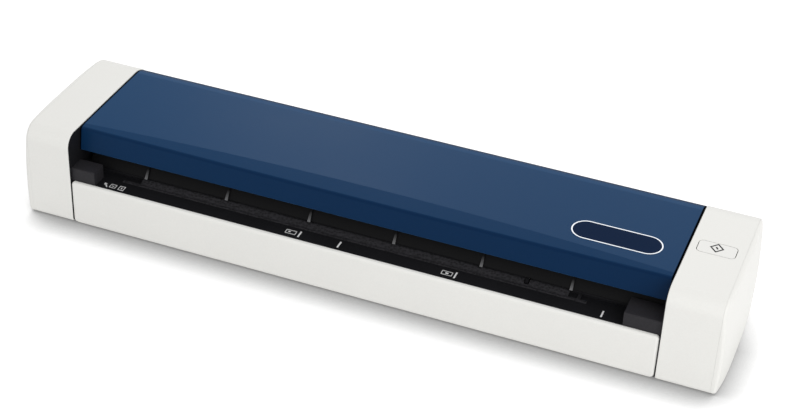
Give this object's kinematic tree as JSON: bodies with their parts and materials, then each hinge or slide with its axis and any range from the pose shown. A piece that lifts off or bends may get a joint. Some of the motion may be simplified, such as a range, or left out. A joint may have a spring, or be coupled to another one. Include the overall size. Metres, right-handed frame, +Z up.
{
  "type": "portable document scanner",
  "caption": "Slim sheet-fed document scanner: paper goes in at a front slot under a hinged blue lid, between scanning heads and rollers, and out at the back.",
  "frame": {"origin": "on the desk, under the middle of the scanner", "axes": "+X along the length towards the end with the button, +Y from the feed slot to the back, +Z up"},
  "size_m": [0.2896, 0.068, 0.0406],
  "materials": {
    "white_plastic": "satin",
    "blue_lid": "fine satin",
    "black_plastic": "satin",
    "dark_strip": "textured",
    "button_plastic": "satin",
    "silver_rim": "bright",
    "guide_plastic": "satin",
    "natural_plastic": "satin",
    "backing_white": "matte",
    "head_black": "matte",
    "head_glass": "clear",
    "steel": "bright",
    "brass": "satin",
    "spring_steel": "bright",
    "tyre_rubber": "matte",
    "foot_rubber": "matte",
    "circuit_board": "satin",
    "chip_black": "matte",
    "cable_white": "satin"
  },
  "bodies": {
    "base": {"left_end_housing": "white_plastic", "right_end_housing": "white_plastic", "left_side_cover": "white_plastic", "right_side_cover": "white_plastic", "rubber_feet": "foot_rubber", "bottom_cover": "black_plastic", "front_panel": "white_plastic", "rear_cover": "white_plastic", "feed_tray": "black_plastic", "sensor_axle": "steel", "sensor_board": "circuit_board", "left_edge_guide": "guide_plastic", "right_edge_guide": "guide_plastic", "feed_ramp": "dark_strip", "lower_frame": "black_plastic", "lower_scan_head": "head_black", "lower_scan_glass": "head_glass", "lower_backing": "backing_white", "left_side_frame": "black_plastic", "right_side_frame": "black_plastic", "hinge_pins": "steel", "shaft_bushes": "brass", "idler_axle": "steel", "motor_bracket": "steel", "motor": "steel", "main_board": "circuit_board", "board_chips": "chip_black", "usb_socket": "steel", "head_cable": "cable_white", "button_board": "circuit_board", "button_switch": "chip_black", "case_screws": "steel", "frame_screws": "steel"},
    "cover": {"top_cover": "blue_lid", "nameplate_rim": "silver_rim", "upper_frame": "black_plastic", "upper_scan_head": "head_black", "upper_scan_glass": "head_glass", "upper_backing": "backing_white", "pinch_springs": "spring_steel", "lid_screws": "steel"},
    "scan_button": {"scan_button": "button_plastic"},
    "sensor_lever": {"sensor_lever": "black_plastic"},
    "feed_roller": {"feed_roller_shaft": "steel", "feed_roller_tyres": "tyre_rubber", "feed_roller_gear": "natural_plastic"},
    "exit_roller": {"exit_roller_shaft": "steel", "exit_roller_tyres": "tyre_rubber", "exit_roller_gear": "natural_plastic"},
    "idler_gear": {"idler_gear": "natural_plastic"},
    "motor_rotor": {"motor_shaft": "steel", "motor_pinion": "brass"},
    "front_pinch": {"front_pinch_shaft": "steel", "front_pinch_rollers": "natural_plastic"},
    "rear_pinch": {"rear_pinch_shaft": "steel", "rear_pinch_rollers": "natural_plastic"}
  },
  "joints": [
    {"name": "cover_hinge", "type": "hinge", "parent": "base", "child": "cover", "pos_m": [0, 0.0282, 0.0262], "axis": [-1, 0, 0], "range_deg": [0, 60]},
    {"name": "scan_button_press", "type": "slide", "parent": "base", "child": "scan_button", "axis": [0, 0, -1], "range_m": [0, 0.0006], "stiffness_N_per_m": 1000, "springref_m": -0.0005},
    {"name": "sensor_lever_swing", "type": "hinge", "parent": "base", "child": "sensor_lever", "pos_m": [0.06545, -0.0218, 0.0142], "axis": [-1, 0, 0], "range_deg": [0, 35], "stiffness_Nm_per_rad": 0.00005, "springref_deg": -5.73},
    {"name": "feed_roller_spin", "type": "hinge", "parent": "base", "child": "feed_roller", "pos_m": [0, -0.0135, 0.0161], "axis": [1, 0, 0], "continuous": true},
    {"name": "exit_roller_spin", "type": "hinge", "parent": "base", "child": "exit_roller", "pos_m": [0, 0.021, 0.0161], "axis": [1, 0, 0], "continuous": true},
    {"name": "idler_spin", "type": "hinge", "parent": "base", "child": "idler_gear", "pos_m": [0, 0.00375, 0.0161], "axis": [1, 0, 0], "continuous": true},
    {"name": "motor_spin", "type": "hinge", "parent": "base", "child": "motor_rotor", "pos_m": [0, 0.01368, 0.02569], "axis": [1, 0, 0], "continuous": true},
    {"name": "front_pinch_spin", "type": "hinge", "parent": "cover", "child": "front_pinch", "pos_m": [0, -0.0135, 0.0249], "axis": [1, 0, 0], "continuous": true},
    {"name": "rear_pinch_spin", "type": "hinge", "parent": "cover", "child": "rear_pinch", "pos_m": [0, 0.021, 0.0249], "axis": [1, 0, 0], "continuous": true}
  ],
  "couplings": [
    {"joint": "exit_roller_spin", "follows": "feed_roller_spin", "ratio": 1},
    {"joint": "idler_spin", "follows": "feed_roller_spin", "ratio": -0.66667},
    {"joint": "motor_spin", "follows": "feed_roller_spin", "ratio": 2},
    {"joint": "front_pinch_spin", "follows": "feed_roller_spin", "ratio": -1.4286},
    {"joint": "rear_pinch_spin", "follows": "feed_roller_spin", "ratio": -1.4286}
  ]
}
